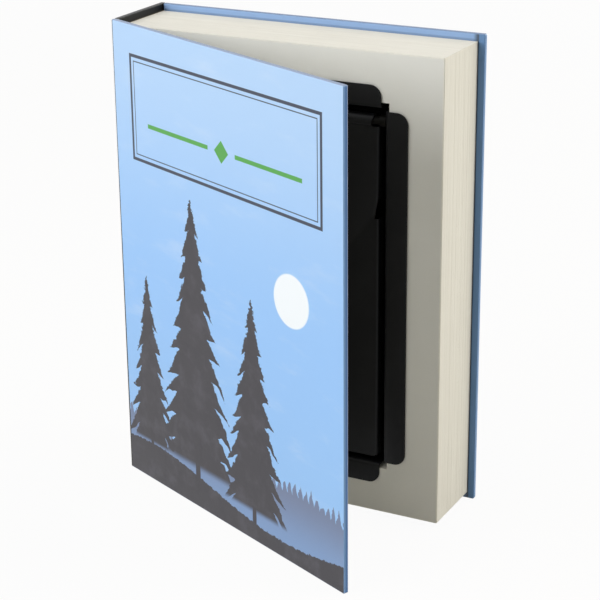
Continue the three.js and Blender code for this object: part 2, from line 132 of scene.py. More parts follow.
def new_material(name, **plain):
    """A material with a Principled shader, whose plain numbers and colours are set here."""
    material = bpy.data.materials.new(name)
    material.use_nodes = True
    shader = material.node_tree.nodes["Principled BSDF"]
    for socket, value in plain.items():
        shader.inputs[socket.replace("_", " ")].default_value = value
    return material, material.node_tree, shader


def bump(tree, shader, height, relief):
    """A height from 0 to 1 shows as a relief of so many mm."""
    made = add_node(tree, "ShaderNodeBump", {"Height": height, "Distance": relief * mm})
    tree.links.new(made.outputs[0], shader.inputs["Normal"])


def roughen(tree, shader, texture, base, change):
    """Roughness: a base value, and how much a texture from 0 to 1 adds to it."""
    tree.links.new(calc(tree, "MULTIPLY_ADD", texture, change, base), shader.inputs["Roughness"])


def new_effect(name, numbers, results):
    """A shared effect: a node group that takes a place and named numbers."""
    tree = bpy.data.node_groups.new(name, "ShaderNodeTree")
    tree.interface.new_socket("Place", in_out="INPUT", socket_type="NodeSocketVector")
    for number, value in numbers.items():
        socket = tree.interface.new_socket(number, in_out="INPUT", socket_type="NodeSocketFloat")
        socket.default_value = value
    for result in results:
        tree.interface.new_socket(result, in_out="OUTPUT", socket_type="NodeSocketFloat")
    return tree, tree.nodes.new("NodeGroupInput").outputs, tree.nodes.new("NodeGroupOutput").inputs


def use_effect(tree, effect, place, **numbers):
    """Places a shared effect in a material, with this material's own numbers."""
    made = tree.nodes.new("ShaderNodeGroup")
    made.node_tree = effect
    tree.links.new(place, made.inputs["Place"])
    for number, value in numbers.items():
        made.inputs[number].default_value = value
    return made.outputs


# Paper fibre: a cloudy tone and a felted height, at the scale of real fibres

fibre, given, result = new_effect("paper_fibre", {"Size": 0.6 * mm, "Cloud": 12 * mm}, ["Tone", "Height"])
fine_scale = calc(fibre, "DIVIDE", 1.0, given["Size"])
cloud_scale = calc(fibre, "DIVIDE", 1.0, given["Cloud"])
fine = noise_texture(fibre, given["Place"], fine_scale, detail=4.0, roughness=0.65)
cloud = noise_texture(fibre, given["Place"], cloud_scale)
cloudy = calc(fibre, "MULTIPLY", cloud, 0.4)
fibre.links.new(calc(fibre, "MULTIPLY_ADD", fine, 0.6, cloudy), result["Tone"])
fibre.links.new(fine, result["Height"])

# Edge band: a broken line where two sides of a sheet, a board or the block of pages meet. It stands for
# wear, for the block's darker upright edges, and for a painted highlight on the endpaper

sides = (("West", "East"), ("Near", "Far"), ("Foot", "Head"))
box_numbers = {name: 0.0 for pair in sides for name in pair}
box_numbers["Reach"] = 0.8 * mm
box_edges, given, result = new_effect("box_edges", box_numbers, ["Wear"])
axes = add_node(box_edges, "ShaderNodeSeparateXYZ", {0: given["Place"]}).outputs
close = []
for axis, (low_side, high_side) in zip(axes, sides):
    from_low = calc(box_edges, "SUBTRACT", axis, given[low_side])
    from_high = calc(box_edges, "SUBTRACT", given[high_side], axis)
    inset = calc(box_edges, "MINIMUM", from_low, from_high)
    close.append(step(box_edges, inset, 0.0, given["Reach"], 1.0, 0.0))
meeting = calc(box_edges, "MULTIPLY", close[0], close[1])
for first, second in ((0, 2), (1, 2)):
    also = calc(box_edges, "MULTIPLY", close[first], close[second])
    meeting = calc(box_edges, "MAXIMUM", meeting, also)
spots = noise_texture(box_edges, given["Place"], 260.0, detail=4.0, roughness=0.6)
broken = step(box_edges, spots, 0.3, 0.6, start=0.35)
box_edges.links.new(calc(box_edges, "MULTIPLY", meeting, broken), result["Wear"])


def edge_band_between(tree, place, low, high, reach):
    """A band on the edges of the box between two corners, as wide as the reach in mm."""
    numbers = {}
    for axis, (low_side, high_side) in enumerate(sides):
        numbers[low_side] = low[axis]
        numbers[high_side] = high[axis]
    return use_effect(tree, box_edges, place, Reach=reach * mm, **numbers)["Wear"]


paper_edge_share = 0.6


def paper_material(name, low, high, dark, light, edge_tone, size=0.5, cloud=20, relief=0.02, reach=0.8):
    """Matte paper or board: its fibres show in colour, roughness and height, its edges take another tone.

    The colours are of the dark and light fibres and of the edges, and the sizes are in mm. The edge tone
    is wear, and on the endpaper a painted highlight.
    """
    material, tree, shader = new_material(name, Specular_IOR_Level=0.3)
    place = object_place(tree)
    felt = use_effect(tree, fibre, place, Size=size * mm, Cloud=cloud * mm)
    tone = mix(tree, felt["Tone"], colour(*dark), colour(*light))
    edge_share = calc(tree, "MULTIPLY", edge_band_between(tree, place, low, high, reach), paper_edge_share)
    tree.links.new(mix(tree, edge_share, tone, colour(*edge_tone)), shader.inputs["Base Color"])
    roughen(tree, shader, felt["Height"], base=0.8, change=0.12)
    bump(tree, shader, felt["Height"], relief)
    return material


def dress(node, dark, light, edge_tone, **numbers):
    """A CAD node whose shape is right keeps it, and gets its own paper."""
    mesh = cad[node].data
    mesh.materials.clear()
    mesh.materials.append(paper_material(node + "_paper", *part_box(node), dark, light, edge_tone, **numbers))


for board in ("front_board", "spine_board", "back_board"):
    dress(
        board, dark=(132, 126, 116), light=(176, 170, 158), edge_tone=(192, 186, 174),
        size=0.9, cloud=9, relief=0.05,
    )

# The cover paper is a printed, satin-laminated sheet, glued over the boards and turned in round
# their edges. Its paper bends over each edge in a small radius. Front and back carry the same
# sky, and the spine is black.

book_width = 200
book_height = 270
book_thickness = 52
paper_thickness = 0.2
edge_thickness = 2.9
panel_thickness = 3.15
crease_gap = 0.3
turn_in = 15
edge_radius = 0.45
fore_corner = 0.9
edge_steps = 5
corner_steps = 6
same_point = 0.001
smooth_below = 35
case_corner = Vector((
    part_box("back_cover_paper")[0].x,
    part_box("back_cover_paper")[1].y - book_thickness * mm,
    0,
))


def to_mesh(name, bm):
    bmesh.ops.recalc_face_normals(bm, faces=bm.faces)
    mesh = bpy.data.meshes.new(name)
    bm.to_mesh(mesh)
    bm.free()
    return mesh


def link(name, mesh):
    made = bpy.data.objects.new(name, mesh)
    bpy.context.scene.collection.objects.link(made)
    return made


def apply_modifiers(piece):
    """Makes the modifiers' result the piece's own mesh."""
    bpy.context.view_layer.update()
    done = bpy.data.meshes.new_from_object(piece.evaluated_get(bpy.context.evaluated_depsgraph_get()))
    old = piece.data
    piece.modifiers.clear()
    piece.data = done
    bpy.data.meshes.remove(old)


def smooth(piece):
    """Rounded edges look round, and the large faces beside them stay flat."""
    piece.data.shade_smooth()
    piece.data.set_sharp_from_angle(angle=math.radians(smooth_below))
    flat = piece.modifiers.new("flat faces", "WEIGHTED_NORMAL")
    flat.keep_sharp = True
    apply_modifiers(piece)


def finish_piece(piece, body, material, node):
    """Material, body and the CAD node that the piece stands for."""
    piece.data.materials.clear()
    piece.data.materials.append(material)
    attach(piece, body)
    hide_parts(node)


def outline(start, end, inset, corner):
    """Half of a panel's outline, from the crease round the fore edge and back, at an inset."""
    radius = max(corner - inset, 0)
    foot, head = inset, book_height - inset
    if not corner:
        return [(start, foot), (end, foot), (end, head), (start, head)]
    fore = end - inset
    points = [(start, foot)]
    for centre_z, first in ((foot + radius, -90), (head - radius, 0)):
        for i in range(corner_steps + 1):
            angle = math.radians(first + 90 * i / corner_steps)
            points.append((
                fore - radius + radius * math.cos(angle),
                centre_z + radius * math.sin(angle),
            ))
    return points + [(start, head)]


def wrapped_paper(name, start, end, corner, face_start, face_end, inward):
    """The paper over one board: its outer face, its rounded edges and its turn-ins.

    It is wrapped from start to end, and its outer face runs on as a lip where face_start or
    face_end lies beyond them. It isn't turned in at a crease: never at its start, and with no
    corner not at its end.
    """
    profile = []
    for i in range(edge_steps + 1):
        angle = math.radians(90 * i / edge_steps)
        profile.append((edge_radius * (1 - math.sin(angle)), edge_radius * (1 - math.cos(angle))))
    profile += [(inset, edge_thickness - depth) for inset, depth in reversed(profile)]
    profile.append((turn_in, edge_thickness))
    bm = bmesh.new()
    rings = []
    for inset, depth in profile:
        points = outline(start, end, inset, corner)
        rings.append([bm.verts.new((u * mm, inward * depth * mm, z * mm)) for u, z in points])
    for one, two in zip(rings, rings[1:]):
        for i in range(len(one) - 1):
            if corner or i != 1:
                bm.faces.new((one[i], one[i + 1], two[i + 1], two[i]))
    face = list(rings[0])
    low, high = edge_radius * mm, (book_height - edge_radius) * mm
    if face_start < start:
        face.insert(0, bm.verts.new((face_start * mm, 0, low)))
        face.append(bm.verts.new((face_start * mm, 0, high)))
    if face_end > end:
        face[2:2] = [bm.verts.new((face_end * mm, 0, z)) for z in (low, high)]
    bm.faces.new(face)
    bmesh.ops.remove_doubles(bm, verts=bm.verts, dist=same_point * mm)
    piece = link(name, to_mesh(name, bm))
    outer = max(piece.data.polygons, key=lambda polygon: polygon.area)
    wrong_way = outer.normal.y * inward > 0
    solid = piece.modifiers.new("thickness", "SOLIDIFY")
    solid.thickness = paper_thickness * mm
    solid.offset = 1 if wrong_way else -1
    apply_modifiers(piece)
    bm = bmesh.new()
    bm.from_mesh(piece.data)
    bmesh.ops.recalc_face_normals(bm, faces=bm.faces)
    bm.to_mesh(piece.data)
    bm.free()
    smooth(piece)
    return piece


front_paper = wrapped_paper(
    "front_paper_cover", start=crease_gap, end=book_width, corner=fore_corner,
    face_start=crease_gap, face_end=book_width, inward=1,
)
spine_end = book_thickness - panel_thickness - crease_gap
spine_cover = wrapped_paper(
    "spine_paper_cover", start=crease_gap, end=spine_end, corner=0,
    face_start=crease_gap, face_end=book_thickness, inward=1,
)
back_start = panel_thickness + crease_gap
back_paper = wrapped_paper(
    "back_paper_cover", start=back_start, end=book_width, corner=fore_corner,
    face_start=0, face_end=book_width, inward=-1,
)

cover_opening = math.radians(24.5)
front_paper.matrix_world = Matrix.Translation(case_corner) @ Matrix.Rotation(-cover_opening, 4, "Z")
rear_corner = case_corner + Vector((0, book_thickness * mm, 0))
spine_cover.matrix_world = Matrix.Translation(rear_corner) @ Matrix.Rotation(-math.pi / 2, 4, "Z")
back_paper.matrix_world = Matrix.Translation(rear_corner)

# Satin lamination: a faint ripple from the board below and small rubbed marks in the gloss

laminate_roughness = 0.34
rubbed_roughness = 0.12
laminate_relief = 0.05
laminate, given, result = new_effect("satin_laminate", {"Ripple": 6 * mm}, ["Roughness", "Height"])
ripple_scale = calc(laminate, "DIVIDE", 1.0, given["Ripple"])
ripple = noise_texture(laminate, given["Place"], ripple_scale, detail=3.0, roughness=0.6)
rub_and_highlight = noise_texture(laminate, given["Place"], 90.0, detail=5.0, roughness=0.7)
rubs = step(laminate, rub_and_highlight, 0.45, 0.75)
satin = calc(laminate, "MULTIPLY_ADD", rubs, rubbed_roughness, laminate_roughness)
laminate.links.new(satin, result["Roughness"])
laminate.links.new(ripple, result["Height"])


def laminate_over(printed, tree, shader, place, **numbers):
    """The print under the satin film."""
    film = use_effect(tree, laminate, place, **numbers)
    tree.links.new(printed, shader.inputs["Base Color"])
    tree.links.new(film["Roughness"], shader.inputs["Roughness"])
    bump(tree, shader, film["Height"], relief=laminate_relief)


# The inks: the printed sky, the boards' edges and turn-ins, and the picture in front of the sky, with
# painted shade on the fore turn-ins, a painted shadow by the pages and a painted highlight on the arrises

sky_top = colour(176, 207, 243)
sky_middle = colour(150, 194, 245)
sky_foot = colour(147, 191, 239)
cloud_ink = colour(212, 226, 246)
turned_ink = colour(141, 173, 217)
# The edge inks are the print on the boards' edges, and also painted shade on the turn-ins along the fore
# edge
front_edge_and_shade_ink = colour(74, 117, 174)
back_edge_and_shade_ink = colour(95, 134, 180)
# Painted shadow where the pages meet the turn-ins
pages_shadow_ink = colour(70, 80, 92)
light_edge_ink = colour(122, 160, 206)
front_end_ink = colour(124, 142, 172)
back_end_ink = colour(101, 125, 160)
# Painted highlight on the front cover's arrises
arris_highlight_ink = colour(204, 213, 244)
near_ink = colour(57, 55, 61)
near_ink_light = colour(72, 70, 78)
far_ink = colour(112, 124, 153)
frame_ink = colour(62, 68, 84)
rule_ink = colour(84, 160, 76)
pale_ink = colour(238, 244, 250)
haze_ink = colour(126, 156, 200)
crease_black = colour(40, 40, 40)
lip_black = colour(33, 33, 32)
line_softness = 0.15

# The sky's bands and its far woods, in mm up the cover: a long swell, with tree tops on it

low_sky = (0, 130)
high_sky = (120, 275)
cloud_cover = 0.3
woods_wave = 31
woods_phase = 2.6
woods_swell = 7.0
woods_line = 34.0
treetop_width = 2.3
treetop_heights = (2.0, 11.0)
haze_band = (5, 45)


def inside(tree, distance, softness=0.25):
    """1 where the distance in mm is below zero."""
    return step(tree, distance, -softness, softness, 1.0, 0.0)


def length_of(tree, x, z):
    """The length of a line that goes so far across and so far up."""
    square = calc(tree, "ADD", calc(tree, "MULTIPLY", x, x), calc(tree, "MULTIPLY", z, z))
    return calc(tree, "SQRT", square)


def printed_sky(tree, place):
    """Sky over a far line of woods. Returns it with the place across and up the cover in mm."""
    axes = add_node(tree, "ShaderNodeSeparateXYZ", {0: place}).outputs
    across = calc(tree, "DIVIDE", axes[0], mm)
    up = calc(tree, "DIVIDE", axes[2], mm)
    sky = mix(tree, step(tree, up, *low_sky), sky_foot, sky_middle)
    sky = mix(tree, step(tree, up, *high_sky), sky, sky_top)
    streaks = add_node(tree, "ShaderNodeMapping", {0: place, "Scale": (1.0, 1.0, 3.2)}).outputs[0]
    cloud = noise_texture(tree, streaks, 26.0, detail=5.0, roughness=0.55)
    cloud = step(tree, cloud, 0.5, 0.85, 0.0, cloud_cover)
    sky = mix(tree, cloud, sky, cloud_ink)
    wave = calc(tree, "SINE", calc(tree, "MULTIPLY_ADD", across, 1 / woods_wave, woods_phase))
    crest = calc(tree, "MULTIPLY_ADD", wave, woods_swell, woods_line)
    growth = noise_texture(tree, place, 85.0, detail=3.0, roughness=0.6)
    uneven_rows = calc(tree, "MULTIPLY", growth, 3.0)
    stand = calc(tree, "MULTIPLY_ADD", across, 1 / treetop_width, uneven_rows)
    point = calc(tree, "PINGPONG", stand, 1.0)
    tall = step(tree, growth, 0.3, 0.7, *treetop_heights)
    crest = calc(tree, "ADD", crest, calc(tree, "MULTIPLY", point, tall))
    woods = inside(tree, calc(tree, "SUBTRACT", up, crest))
    haze = mix(tree, step(tree, up, *haze_band), haze_ink, far_ink)
    return mix(tree, woods, sky, haze), across, up


def paper_depth(tree, place):
    """How far below the cover's outer face a point of the paper lies, in mm."""
    axes = add_node(tree, "ShaderNodeSeparateXYZ", {0: place}).outputs
    return calc(tree, "DIVIDE", calc(tree, "ABSOLUTE", axes[1]), mm)


# Where the inks change, each from one mm to another: by the depth below the outer face, or by
# the distance from the board's ends and fore edge

turned_depth = (2.3, 2.7)
edge_fade = (0.3, 1.6)
edge_inset = (0.1, 0.5)
# These ranges place the painted shade on the fore turn-in, the painted shadow by the pages and the
# painted highlight on the arrises
fore_turn_in_shade_span = (3.5, 7.0)
fore_pages_shadow = (3.1, 3.9)
end_pages_shadow = (2.5, 3.2)
end_pages_shadow_share = 0.3
end_highlight = 0.35
end_highlight_inset = (0.2, 0.6)
end_highlight_depth = (0.15, 0.5)
fore_highlight_inset = (0.3, 0.8)
fore_highlight_depth = (2.3, 2.6)


def edge_inks(tree, picture, place, across, up, edge_and_shade_ink, end_ink, rub_and_highlight):
    """Darker blue on the board's edges, plain sky on the turn-ins, and a painted highlight on the
    arrises.

    The turn-in along the fore edge is painted in the darker edge ink as painted shade, and a dark painted
    shadow lies on the turn-ins where the pages meet them. With the last number at 0 there is no painted
    highlight.
    """
    depth = paper_depth(tree, place)
    from_end = calc(tree, "MINIMUM", up, calc(tree, "SUBTRACT", float(book_height), up))
    from_fore = calc(tree, "SUBTRACT", float(book_width), across)
    inset = calc(tree, "MINIMUM", from_end, from_fore)
    # Painted shade: the turn-in along the fore edge takes the darker edge ink, where the pages stand over
    # it
    fore_turn_in_shade = step(tree, from_fore, *fore_turn_in_shade_span, 1.0, 0.0)
    turned = mix(tree, fore_turn_in_shade, turned_ink, edge_and_shade_ink)
    # Painted shadow: a dark line on the turn-ins where the pages meet them, along the fore edge and,
    # fainter, along the ends
    turned = mix(tree, step(tree, from_fore, *fore_pages_shadow, 0.0, fore_turn_in_shade), turned, pages_shadow_ink)
    by_pages = calc(tree, "SUBTRACT", step(tree, from_end, *end_pages_shadow), fore_turn_in_shade, clamp=True)
    turned = mix(tree, calc(tree, "MULTIPLY", by_pages, end_pages_shadow_share), turned, pages_shadow_ink)
    picture = mix(tree, step(tree, depth, *turned_depth), picture, turned)
    edge = mix(tree, step(tree, depth, *edge_fade), light_edge_ink, edge_and_shade_ink)
    edge = mix(tree, step(tree, from_end, *edge_inset, 1.0, 0.0), edge, end_ink)
    picture = mix(tree, step(tree, inset, *edge_inset, 1.0, 0.0), picture, edge)
    # Painted highlight: the arrises are painted paler in patches, less at the ends than at the fore edge
    on_ends = calc(
        tree, "MULTIPLY",
        step(tree, from_end, *end_highlight_inset, end_highlight * rub_and_highlight, 0.0),
        step(tree, depth, *end_highlight_depth, 1.0, 0.0),
    )
    on_fore = calc(
        tree, "MULTIPLY",
        step(tree, from_fore, *fore_highlight_inset, rub_and_highlight, 0.0),
        step(tree, depth, *fore_highlight_depth),
    )
    patches = noise_texture(tree, place, 90.0, detail=3.0, roughness=0.5)
    patches = step(tree, patches, 0.3, 0.7, 0.5, 0.85)
    highlighted = calc(tree, "MULTIPLY", calc(tree, "MAXIMUM", on_ends, on_fore), patches)
    return mix(tree, highlighted, picture, arris_highlight_ink)


front_look, tree, shader = new_material("front_print", Specular_IOR_Level=0.4)
place = object_place(tree)
picture, across, up = printed_sky(tree, place)

# A pale sun, and under it three tall firs: drooping boughs round a stem, with ragged ends

sun_across = 158.0
sun_up = 150.0
sun_radius = 14.5
ground_wave = 38
ground_phase = 0.9
ground_swell = 7.0
ground_line = 14.0
ground_rough = 5.0
fir_sizes = (
    {"middle": 70, "foot": 12, "height": 172, "spread": 46, "boughs": 13},
    {"middle": 123, "foot": 8, "height": 134, "spread": 36, "boughs": 11},
    {"middle": 24, "foot": 16, "height": 112, "spread": 28, "boughs": 9},
)
bough_droop = 0.42
bough_depth = 0.42
bough_uneven = 1.3
bough_ragged = 9.0
crown_taper = 0.9
stem_share = 0.013
skirt_shares = (0.06, 0.09)
stem_top_shares = (0.9, 0.95)


def fir(tree, across, up, ragged, uneven, middle, foot, height, spread, boughs):
    """1 inside one fir: its stem's place across, its foot, height and width in mm."""
    off_stem = calc(tree, "ABSOLUTE", calc(tree, "SUBTRACT", across, float(middle)))
    drooped = calc(tree, "MULTIPLY_ADD", off_stem, bough_droop, up)
    down = calc(tree, "MULTIPLY_ADD", drooped, -1 / height, (foot + height) / height)
    down = calc(tree, "MAXIMUM", down, 0.0)
    bough = calc(tree, "MULTIPLY_ADD", uneven, bough_uneven, calc(tree, "MULTIPLY", down, float(boughs)))
    bough = calc(tree, "FRACT", bough)
    reach = calc(tree, "MULTIPLY", calc(tree, "POWER", down, crown_taper), float(spread))
    scallop = calc(tree, "MULTIPLY_ADD", bough, bough_depth, 1 - bough_depth)
    reach = calc(tree, "MULTIPLY", reach, scallop)
    tatter = calc(tree, "MULTIPLY_ADD", ragged, bough_ragged, -bough_ragged / 2)
    reach = calc(tree, "ADD", reach, tatter)
    skirt = step(tree, up, *(foot + share * height for share in skirt_shares))
    crown = calc(tree, "MULTIPLY", inside(tree, calc(tree, "SUBTRACT", off_stem, reach)), skirt)
    crown = calc(tree, "MULTIPLY", crown, step(tree, down, 0.0, 0.01))
    below_top = step(tree, up, *(foot + share * height for share in stem_top_shares), 1.0, 0.0)
    stem = inside(tree, calc(tree, "SUBTRACT", off_stem, stem_share * height))
    stem = calc(tree, "MULTIPLY", stem, below_top)
    return calc(tree, "MAXIMUM", crown, stem)


off_sun = length_of(
    tree, calc(tree, "SUBTRACT", across, sun_across), calc(tree, "SUBTRACT", up, sun_up),
)
picture = mix(tree, inside(tree, calc(tree, "SUBTRACT", off_sun, sun_radius), 0.5), picture, pale_ink)

ragged = noise_texture(tree, place, 330.0, detail=5.0, roughness=0.7)
uneven = noise_texture(tree, place, 60.0)
swell = calc(tree, "SINE", calc(tree, "MULTIPLY_ADD", across, 1 / ground_wave, ground_phase))
ground = calc(tree, "MULTIPLY_ADD", swell, ground_swell, ground_line)
ground = calc(tree, "MULTIPLY_ADD", ragged, ground_rough, ground)
near_print = inside(tree, calc(tree, "SUBTRACT", up, ground))
for sizes in fir_sizes:
    near_print = calc(tree, "MAXIMUM", near_print, fir(tree, across, up, ragged, uneven, **sizes))
near_tone = noise_texture(tree, place, 75.0, detail=4.0, roughness=0.6)
near_tone = step(tree, near_tone, 0.45, 0.75)
picture = mix(tree, near_print, picture, mix(tree, near_tone, near_ink, near_ink_light))

# An empty title place: a frame of two lines round a green rule with a lozenge

title_across = 100.0
title_up = 224.0
title_half_width = 84.0
title_half_height = 30.0
frame_lines = ((0, 1.8), (3.6, 0.6))
rule_up = 216.0
rule_half_height = 1.2
rule_middle = 40.0
rule_half_length = 28.0
lozenge_half = 6.2

off_middle = calc(tree, "ABSOLUTE", calc(tree, "SUBTRACT", across, title_across))
off_title = calc(tree, "ABSOLUTE", calc(tree, "SUBTRACT", up, title_up))
outside = calc(
    tree, "MAXIMUM",
    calc(tree, "SUBTRACT", off_middle, title_half_width),
    calc(tree, "SUBTRACT", off_title, title_half_height),
)
for inset, width in frame_lines:
    off_line = calc(tree, "ABSOLUTE", calc(tree, "ADD", outside, inset + width / 2))
    line = inside(tree, calc(tree, "SUBTRACT", off_line, width / 2), line_softness)
    picture = mix(tree, line, picture, frame_ink)
off_rule = calc(tree, "ABSOLUTE", calc(tree, "SUBTRACT", up, rule_up))
off_half = calc(tree, "ABSOLUTE", calc(tree, "SUBTRACT", off_middle, rule_middle))
rule = calc(
    tree, "MULTIPLY",
    inside(tree, calc(tree, "SUBTRACT", off_rule, rule_half_height), line_softness),
    inside(tree, calc(tree, "SUBTRACT", off_half, rule_half_length), line_softness),
)
off_lozenge = calc(tree, "ADD", off_rule, off_middle)
lozenge = inside(tree, calc(tree, "SUBTRACT", off_lozenge, lozenge_half), line_softness)
picture = mix(tree, calc(tree, "MAXIMUM", rule, lozenge), picture, rule_ink)

# The black of the spine runs a hair's breadth round the crease, more at the foot than the head.
# On the back cover it lines the crease on the inside.

foot_creep = 1.2
head_creep = 0.5
lip_depth = (0.06, 0.12)
lip_edge = (0.02, 0.06)
# The front cover gets the painted highlight on its arrises in full
picture = edge_inks(tree, picture, place, across, up, front_edge_and_shade_ink, front_end_ink, 1.0)
creep = step(tree, up, 0, book_height, foot_creep, head_creep)
black_creep = inside(tree, calc(tree, "SUBTRACT", across, creep), line_softness)
picture = mix(tree, black_creep, picture, crease_black)
laminate_over(picture, tree, shader, place)

back_look, tree, shader = new_material("back_print", Specular_IOR_Level=0.4)
place = object_place(tree)
picture, across, up = printed_sky(tree, place)
picture = edge_inks(tree, picture, place, across, up, back_edge_and_shade_ink, back_end_ink, 0.0)
lip_inside = calc(
    tree, "MULTIPLY",
    step(tree, across, back_start, back_start + line_softness, 1.0, 0.0),
    step(tree, paper_depth(tree, place), *lip_depth),
)
lip_end = step(tree, across, *lip_edge, 1.0, 0.0)
picture = mix(tree, calc(tree, "MAXIMUM", lip_inside, lip_end), picture, lip_black)
laminate_over(picture, tree, shader, place)

# The spine's black paper shows its fibres, and is worn a little along its edges

black_look, tree, shader = new_material("black_cover_paper", Specular_IOR_Level=0.16)
place = object_place(tree)
felt = use_effect(tree, fibre, place, Size=0.5 * mm)
black_tone = mix(tree, felt["Tone"], colour(15, 16, 16), colour(30, 30, 29))
low = Vector((0, 0, 0))
high = Vector((book_thickness, edge_thickness, book_height)) * mm
edge_share = calc(tree, "MULTIPLY", edge_band_between(tree, place, low, high, 0.6), 0.1)
black_tone = mix(tree, edge_share, black_tone, colour(74, 74, 73))
laminate_over(black_tone, tree, shader, place, Ripple=3 * mm)

finish_piece(front_paper, "front_cover", front_look, "front_cover_paper")
finish_piece(spine_cover, "spine", black_look, "spine_paper")
finish_piece(back_paper, "book_body", back_look, "back_cover_paper")

# The spine is lined inside with uncoated black paper, pasted on the board between the two
# creases. It shows above the pages, and whole when the case lies open.

dress("spine_lining", dark=(24, 24, 23), light=(42, 41, 39), edge_tone=(74, 72, 69))

# The inner sheets and the endpaper are plain uncoated off-white paper. The inner sheets are
# pasted over the turn-ins. The endpaper lies on the pages with the cassette's window in it, and
# its outer edges are painted paler than its face, a painted highlight where the face turns to the head.

sheet_fibres = {"dark": (221, 221, 215), "light": (229, 229, 225)}
for sheet in ("front_inner_sheet", "back_inner_sheet"):
    dress(sheet, **sheet_fibres, edge_tone=(198, 195, 186), reach=0.6)
# Painted highlight: the endpaper's edge tone is paler than its face
dress("front_endpaper", **sheet_fibres, edge_tone=(242, 239, 228), reach=1.2)

# The page block is a few hundred cream leaves, glued along the spine and trimmed on the other
# three sides. The front ones are cut through for the cassette and the rest are whole, and no
# two lie quite flush, so the edges show fine lines.

leaf_group = 0.55
leaf_spread = 0.07
window_spread = 0.12
loose_groups = 3
loose_spread = 3.5
first_leaves_back = 0.3

# Where the noise that shifts the leaves is read: so far on for each group, side and wall

group_stride = 0.7
side_stride = 3.1
place_stride = 50


def leaf_stack(name, node, has_window):
    """A stack of thin groups of leaves, each a little out of line, with or without a window."""
    low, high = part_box(node)
    spread = leaf_spread * mm
    groups = max(int(round((high.y - low.y) / (leaf_group * mm))), 1)
    bm = bmesh.new()
    walls = [(low.x, high.x, low.z, high.z, spread)]
    if has_window:
        walls.append((*window_box(node), window_spread * mm))
    first_and_last = []
    for x0, x1, z0, z1, loose in walls:
        rings = []
        for i in range(groups):
            stray = loose * (loose_spread if i < loose_groups and has_window else 1)
            shift = []
            for k in range(4):
                along = i * group_stride + side_stride * k
                spot = Vector((along, x0 * place_stride, z0 * place_stride))
                shift.append(noise.noise(spot) * stray)
            if i == 0 and has_window:
                shift[2] -= first_leaves_back * mm
            points = (
                (x0 + shift[0], z0 + shift[1]), (x1 + shift[2], z0 + shift[1]),
                (x1 + shift[2], z1 + shift[3]), (x0 + shift[0], z1 + shift[3]),
            )
            for j in (i, i + 1):
                y = low.y + (high.y - low.y) * j / groups
                rings.append([bm.verts.new((x, y, z)) for x, z in points])
        for one, two in zip(rings, rings[1:]):
            for i in range(4):
                k = (i + 1) % 4
                bm.faces.new((one[i], one[k], two[k], two[i]))
        first_and_last.append((rings[0], rings[-1]))
    for end in (0, 1):
        outer = first_and_last[0][end]
        if has_window:
            inner = first_and_last[1][end]
            for i in range(4):
                k = (i + 1) % 4
                bm.faces.new((outer[i], outer[k], inner[k], inner[i]))
        else:
            bm.faces.new(outer)
    return link(name, to_mesh(name, bm))


def window_box(node):
    """The window in the cut leaves: the corners of the node's mesh that aren't on its outside."""
    low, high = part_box(node)
    inner = [
        v.co for v in cad[node].data.vertices
        if low.x + mm < v.co.x < high.x - mm and low.z + mm < v.co.z < high.z - mm
    ]
    xs, zs = [v.x for v in inner], [v.z for v in inner]
    return min(xs), max(xs), min(zs), max(zs)


page_look, tree, shader = new_material("pages", Specular_IOR_Level=0.25)
place = object_place(tree)
leaf_lines = add_node(tree, "ShaderNodeMapping", {0: place, "Scale": (0.02, 1.0, 0.02)}).outputs[0]
coarse = noise_texture(tree, leaf_lines, 700.0, detail=3.0, roughness=0.6)
fine = noise_texture(tree, leaf_lines, 4200.0, detail=2.0, roughness=0.6)
lines = calc(tree, "MULTIPLY_ADD", coarse, 0.6, calc(tree, "MULTIPLY", fine, 0.4))
felt = use_effect(tree, fibre, place, Size=0.4 * mm, Cloud=25 * mm)
tone = calc(tree, "MULTIPLY_ADD", felt["Tone"], 0.25, calc(tree, "MULTIPLY", lines, 0.75))
page_colour = mix(tree, step(tree, tone, 0.3, 0.7), colour(221, 218, 209), colour(232, 230, 222))

# The block is darker along its upright edges, so the box is made longer than the block

beyond_ends = Vector((0, 0, 10)) * mm
low = Vector(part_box("cut_pages")[0]) - beyond_ends
high = Vector(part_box("uncut_pages")[1]) + beyond_ends
upright_edge_darkening = calc(tree, "MULTIPLY", edge_band_between(tree, place, low, high, 0.9), 0.7)
page_colour = mix(tree, upright_edge_darkening, page_colour, colour(184, 180, 164))
tree.links.new(page_colour, shader.inputs["Base Color"])
roughen(tree, shader, lines, base=0.78, change=0.15)
bump(tree, shader, lines, relief=0.08)

cut_leaves = leaf_stack("cut_leaves", "cut_pages", True)
whole_leaves = leaf_stack("whole_leaves", "uncut_pages", False)
finish_piece(cut_leaves, "book_body", page_look, "cut_pages")
finish_piece(whole_leaves, "book_body", page_look, "uncut_pages")

# The back of the block is lined with brown paper over the glue. It is seen only from above,
# down the hollow between the block and the spine.

dress(
    "block_lining", dark=(150, 126, 94), light=(196, 172, 136), edge_tone=(206, 188, 158),
    size=1.2, cloud=14, relief=0.04,
)

# The cassette's tray, its lid and the strike are folded from sheet steel, powder coated black:
# a satin coat with a very fine orange-peel surface, thinner and shinier along the cut edges.

sheet_bevel = 0.16
bevel_segments = 3
bevel_above = 28
flat_within = 0.5
merge_within = 0.002


